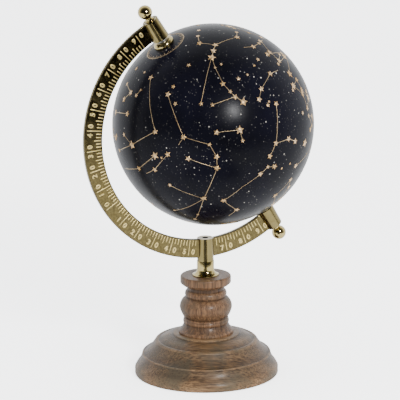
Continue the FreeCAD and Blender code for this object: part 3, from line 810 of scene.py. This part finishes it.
far_figures = [
    [(2, 59, 3), (10, 57, 3), (14, 61, 3), (21, 60, 2), (29, 64, 2)],
    [(310, 45, 4), (306, 40, 3), (300, 35, 1), (293, 28, 3)],
    [(312, 34, 3), (306, 40, 0), (296, 45, 3)],
    [(279, 39, 4), (282, 37, 2), (285, 33, 2), (282, 33, 2), (279, 39, 0)],
    [(287, -5, 2), (291, 3, 2), (298, 9, 4), (303, -1, 2)],
    [(286, 14, 3), (298, 9, 0)],
    [(346, 15, 3), (346, 28, 3), (2, 29, 3), (3, 15, 3), (346, 15, 0)],
    [(326, 10, 3), (333, 6, 1), (340, 11, 2), (346, 15, 0)],
    [(2, 29, 0), (10, 31, 2), (17, 36, 3), (31, 42, 3)],
    [(46, 53, 2), (51, 50, 4), (56, 48, 2), (60, 40, 2), (59, 32, 3)],
    [(51, 50, 0), (47, 41, 3)],
    [(29, 21, 2), (32, 23, 3), (42, 27, 2)],
    [(45, 4, 3), (41, 3, 2), (35, -3, 2), (28, -10, 2), (17, -10, 2), (11, -18, 3)],
    [(51, 9, 1), (60, 12, 2), (65, 16, 2), (69, 17, 4), (84, 21, 2)],
    [(65, 16, 0), (67, 19, 2), (82, 29, 3)],
    [(79, -8, 4), (83, 0, 3), (81, 6, 3), (89, 7, 4), (85, -2, 3), (87, -10, 3), (79, -8, 0)],
    [(83, 0, 0), (84, -1, 3), (85, -2, 0)],
    [(83, -18, 3), (82, -21, 2), (87, -22, 2), (89, -14, 2), (83, -18, 0)],
    [(96, -53, 4), (110, -57, 1), (125, -59, 3), (139, -59, 3), (138, -70, 3)],
    [(121, -40, 3), (122, -47, 3), (131, -55, 3), (140, -55, 3), (137, -43, 3), (121, -40, 0)],
    [(187, -57, 3), (187, -63, 4)],
    [(184, -59, 2), (192, -60, 3)],
    [(220, -61, 4), (211, -60, 3), (205, -53, 3), (209, -47, 2), (212, -36, 3)],
    [(205, -53, 0), (190, -49, 3), (182, -51, 3)],
    [(223, -16, 3), (229, -9, 3), (234, -15, 2), (226, -25, 2), (223, -16, 0)],
    [(239, -26, 3), (240, -23, 3), (241, -20, 3)],
    [(240, -23, 0), (247, -26, 4), (252, -34, 3), (254, -42, 2), (264, -43, 3), (265, -39, 2),
     (263, -37, 3)],
    [(276, -34, 3), (275, -30, 2), (271, -30, 2), (276, -34, 0), (285, -30, 3), (281, -27, 2),
     (275, -30, 0), (277, -25, 2), (281, -27, 0), (284, -26, 3), (285, -30, 0)],
    [(304, -13, 2), (305, -15, 3), (312, -25, 1), (322, -22, 2), (327, -16, 3), (305, -15, 0)],
    [(323, -6, 3), (331, 0, 3), (337, 0, 2), (343, -8, 2), (344, -16, 3), (350, -20, 1)],
    [(344, -30, 4), (340, -27, 1), (332, -33, 2)],
    [(332, -47, 3), (341, -47, 3), (342, -51, 1), (345, -53, 1)],
    [(329, -37, 2), (333, -41, 1), (341, -47, 0)],
    [(6, -42, 3), (17, -47, 2), (22, -43, 2)],
    [(24, -57, 4), (34, -52, 1), (45, -40, 3), (57, -36, 1), (66, -34, 2), (56, -22, 1),
     (56, -12, 2), (69, -3, 1), (77, -5, 3)],
    [(306, -57, 3), (300, -73, 1), (285, -70, 1), (266, -64, 2)],
    [(250, 32, 3), (251, 39, 2), (259, 37, 2), (255, 31, 2), (250, 32, 0), (248, 21, 3)],
    [(255, 31, 0), (259, 25, 2), (264, 26, 1), (269, 29, 1)],
    [(264, 13, 3), (254, 9, 2), (244, -4, 3), (249, -11, 2), (258, -16, 3), (266, 5, 2),
     (264, 13, 0)],
    [(232, 29, 2), (234, 27, 3), (239, 27, 2), (241, 30, 1)],
    [(269, 51, 3), (263, 52, 2), (262, 57, 1), (273, 57, 2), (269, 51, 0)],
    [(309, 15, 2), (310, 16, 2), (311, 15, 1), (309, 14, 1)],
    [(333, 58, 2), (320, 62, 3), (322, 71, 2), (355, 78, 2), (343, 66, 2), (320, 62, 0)],
    [(252, -69, 3), (239, -63, 2), (230, -69, 2), (252, -69, 0)],
    [(76, -22, 0), (60, -62, 2), (63, -62, 1)],
]


def sky_direction(right_ascension, declination):
    """Where a sky place lies on the print. Right ascension grows to the left, as on a chart."""
    longitude = math.radians(print_start - right_ascension)
    latitude = math.radians(declination)
    return Vector((math.cos(latitude) * math.cos(longitude),
                   math.cos(latitude) * math.sin(longitude), math.sin(latitude)))


def laid(direction, heading):
    """The place of a flat piece laid against the ball, with its X towards a heading."""
    along = (heading - direction * heading.dot(direction)).normalized()
    turn = Matrix((along, direction.cross(along), direction)).transposed().to_4x4()
    return turn @ Matrix.Translation((0, 0, foil_radius))


bpy.ops.mesh.primitive_circle_add(vertices=10, radius=1, fill_type="NGON")
star_master = bpy.context.active_object
for corner in star_master.data.vertices:
    corner.select = corner.index % 2 == 1
for element in (*star_master.data.edges, *star_master.data.polygons):
    element.select = False
bpy.ops.object.mode_set(mode="EDIT")
bpy.ops.mesh.select_mode(type="VERT")
bpy.ops.transform.resize(value=(star_waist, star_waist, 1), center_override=(0, 0, 0))
bpy.ops.mesh.select_all(action="SELECT")
bpy.ops.mesh.poke()
bpy.ops.object.mode_set(mode="OBJECT")

bpy.ops.mesh.primitive_grid_add(x_subdivisions=14, y_subdivisions=1, size=1)
strip_master = bpy.context.active_object

stars, strips = [], []
for stroke in front_figures + [[star] for star in front_loose_stars] + far_figures:
    for right_ascension, declination, size in stroke:
        if size:
            heading = Vector((random.uniform(-star_lean, star_lean),
                              random.uniform(-star_lean, star_lean), 1))
            scale = Matrix.Diagonal((star_radii[size], star_radii[size], 1, 1))
            place = laid(sky_direction(right_ascension, declination), heading)
            stars.append(placed(star_master, place @ scale))
    for (*start, _), (*end, _) in zip(stroke, stroke[1:]):
        start, end = sky_direction(*start), sky_direction(*end)
        length = 2 * foil_radius * math.tan(start.angle(end) / 2)
        scale = Matrix.Diagonal((length, line_width, 1, 1))
        strips.append(placed(strip_master, laid((start + end).normalized(), end - start) @ scale))

hour_circle = 20.5 * MM
hour_tick = 3.6 * MM
marks_an_hour = 3
hour_marks = 24 * marks_an_hour
bpy.ops.mesh.primitive_circle_add(vertices=120, radius=hour_circle)
circle_master = bpy.context.active_object
bpy.ops.object.mode_set(mode="EDIT")
bpy.ops.mesh.extrude_edges_move()
widened = 1 + line_width / hour_circle
bpy.ops.transform.resize(value=(widened, widened, 1), center_override=(0, 0, 0))
bpy.ops.mesh.select_all(action="SELECT")
bpy.ops.mesh.flip_normals()
bpy.ops.object.mode_set(mode="OBJECT")
bpy.ops.object.select_all(action="DESELECT")
for pole in (Vector((0, 0, 1)), Vector((0, 0, -1))):
    strips.append(placed(circle_master, laid(pole, Vector((1, 0, 0)))))
    for mark in range(hour_marks):
        angle = math.tau * mark / hour_marks
        reach = hour_tick if mark % marks_an_hour == 0 else hour_tick / 2
        scale = Matrix.Diagonal((reach, line_width * 0.7, 1, 1))
        out = Matrix.Translation((hour_circle - reach / 2, 0, 0))
        strips.append(placed(strip_master, laid(pole, Vector((1, 0, 0)))
                             @ Matrix.Rotation(angle, 4, "Z") @ out @ scale))


def foil(name, wear, pale, deep):
    """Gold foil, worn through to a duller tone in places."""
    material, tree, shader, place = new_material(name)
    rub = shade(tree, "TexNoise", {"Vector": place, "Scale": 45, "Detail": 5, "Roughness": 0.7})
    tone = ramp(tree, rub.outputs["Fac"], [(0.35, deep), (0.65, pale)])
    tree.links.new(tone, shader.inputs["Base Color"])
    shader.inputs["Metallic"].default_value = 1
    rough = ramp(tree, rub.outputs["Fac"], [(0.3, grey(wear)), (0.7, grey(wear * 0.6))])
    tree.links.new(rough, shader.inputs["Roughness"])
    crinkle = shade(tree, "TexNoise", {"Vector": place, "Scale": 900, "Detail": 2})
    bump = shade(tree, "Bump", {"Height": crinkle.outputs["Fac"], "Distance": 0.1 * MM})
    tree.links.new(bump.outputs["Normal"], shader.inputs["Normal"])
    return material


for name, flat_pieces, masters, material in (
        ("foil_stars", stars, [star_master],
         foil("star_foil", 0.6, pale=(0.72, 0.5, 0.28, 1), deep=(0.5, 0.3, 0.1, 1))),
        ("foil_lines", strips, [strip_master, circle_master],
         foil("line_foil", 0.6, pale=(0.5, 0.38, 0.22, 1), deep=(0.27, 0.18, 0.09, 1)))):
    stamped = joined(name, flat_pieces, masters)
    pressed = stamped.modifiers.new("pressed_on_ball", "CAST")
    pressed.cast_type = "SPHERE"
    pressed.factor = 1
    pressed.radius = 0
    pressed.use_radius_as_size = False
    pressed.size = foil_radius
    bpy.ops.object.modifier_apply(modifier=pressed.name)
    thickness = stamped.modifiers.new("foil_thickness", "SOLIDIFY")
    thickness.thickness = foil_thickness
    thickness.offset = 1
    bpy.ops.object.modifier_apply(modifier=thickness.name)
    set_at(stamped, north_up)
    stamped.data.materials.clear()
    stamped.data.materials.append(material)
    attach(stamped, "globe")

# --- Finials ------------------------------------------------------------------------------
# A turned brass ball nut at each end of the axle, on a short neck and collar. The two of them
# hold the axle in the arm and are polished brightest of all.

turned_brass = brass("turned_brass", stretch=(0.1, 0.1, 1), dimples=0.02, scratches=0.008,
                     dull=0.16, bright=0.06)
finial_seat = 129.34 * MM
finial_edge = 0.12 * MM
for pole, place in (("north", north_up), ("south", south_up)):
    finial = turned(f"brass_finial_{pole}", [
        (0, 10), (2.55, 10), (2.55, 0), (4.8, 0), (4.8, 1.2), (3.4, 1.2), (3.4, 3.37, 5.346),
        (0, 16.7),
    ], base=finial_seat, segments=96)
    bevel_edges(finial, finial_edge)
    set_at(finial, place)
    finial.data.materials.append(turned_brass)
    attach(finial, "stand")
    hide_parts(f"finial_{pole}")
